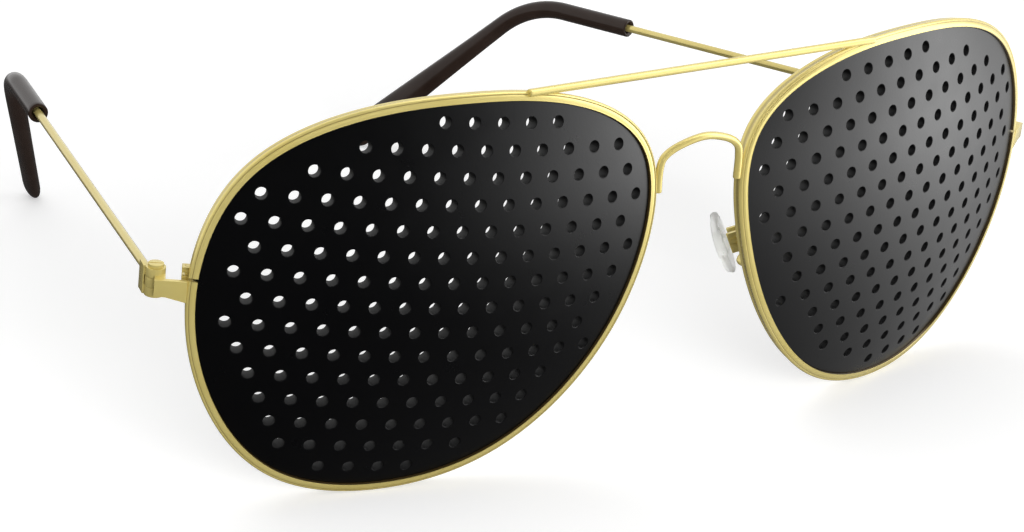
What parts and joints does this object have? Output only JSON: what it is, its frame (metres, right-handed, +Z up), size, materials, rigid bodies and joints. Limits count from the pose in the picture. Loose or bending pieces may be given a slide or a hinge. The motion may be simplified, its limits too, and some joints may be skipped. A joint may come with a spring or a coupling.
{
  "type": "pinhole glasses",
  "caption": "Aviator pinhole glasses: wire rims, perforated opaque lenses, double bridge, folding wire temples with sleeved tips and rocking nose pads.",
  "frame": {"origin": "middle of the underside of the overall box, on the surface that the open glasses stand on", "axes": "+X to the wearer's left, +Y to the back, towards the temple tips, +Z up; the front faces -Y"},
  "size_m": [0.1422, 0.1215, 0.0523],
  "materials": {
    "gold": "polished gold plating",
    "screw_gold": "polished gold plating",
    "lens_plastic": "semi-gloss black",
    "tip_sleeve": "satin dark brown",
    "pad_silicone": "clear",
    "insert": "clear hard plastic"
  },
  "bodies": {
    "front": {"rim_left": "gold", "rim_right": "gold", "lens_left": "lens_plastic", "lens_right": "lens_plastic", "brow_bar": "gold", "bridge": "gold", "end_piece_left": "gold", "end_piece_right": "gold", "closing_block_upper_left": "gold", "closing_block_upper_right": "gold", "closing_block_lower_left": "gold", "closing_block_lower_right": "gold", "rim_screw_left": "screw_gold", "rim_screw_right": "screw_gold", "hinge_screw_left": "screw_gold", "hinge_screw_right": "screw_gold", "pad_arm_left": "gold", "pad_arm_right": "gold", "pad_box_left": "gold", "pad_box_right": "gold", "pad_screw_left": "screw_gold", "pad_screw_right": "screw_gold"},
    "temple_left": {"temple_hinge_left": "gold", "temple_wire_left": "gold", "temple_tip_left": "tip_sleeve"},
    "nose_pad_left": {"pad_insert_left": "insert", "nose_pad_left": "pad_silicone"},
    "temple_right": {"temple_hinge_right": "gold", "temple_wire_right": "gold", "temple_tip_right": "tip_sleeve"},
    "nose_pad_right": {"pad_insert_right": "insert", "nose_pad_right": "pad_silicone"}
  },
  "joints": [
    {"name": "temple_left_fold", "type": "hinge", "parent": "front", "child": "temple_left", "pos_m": [0.06977, -0.04437, 0.02975], "axis": [0, -0.0589, 0.9983], "range_deg": [0, 71]},
    {"name": "temple_right_fold", "type": "hinge", "parent": "front", "child": "temple_right", "pos_m": [-0.06977, -0.04437, 0.02975], "axis": [0, -0.0589, 0.9983], "range_deg": [-64, 0]},
    {"name": "nose_pad_left_rock", "type": "hinge", "parent": "front", "child": "nose_pad_left", "pos_m": [0.01301, -0.05272, 0.02448], "axis": [0.6428, 0.7647, 0.0451], "range_deg": [-8, 8]},
    {"name": "nose_pad_right_rock", "type": "hinge", "parent": "front", "child": "nose_pad_right", "pos_m": [-0.01301, -0.05272, 0.02448], "axis": [-0.6428, 0.7647, 0.0451], "range_deg": [-8, 8]}
  ]
}
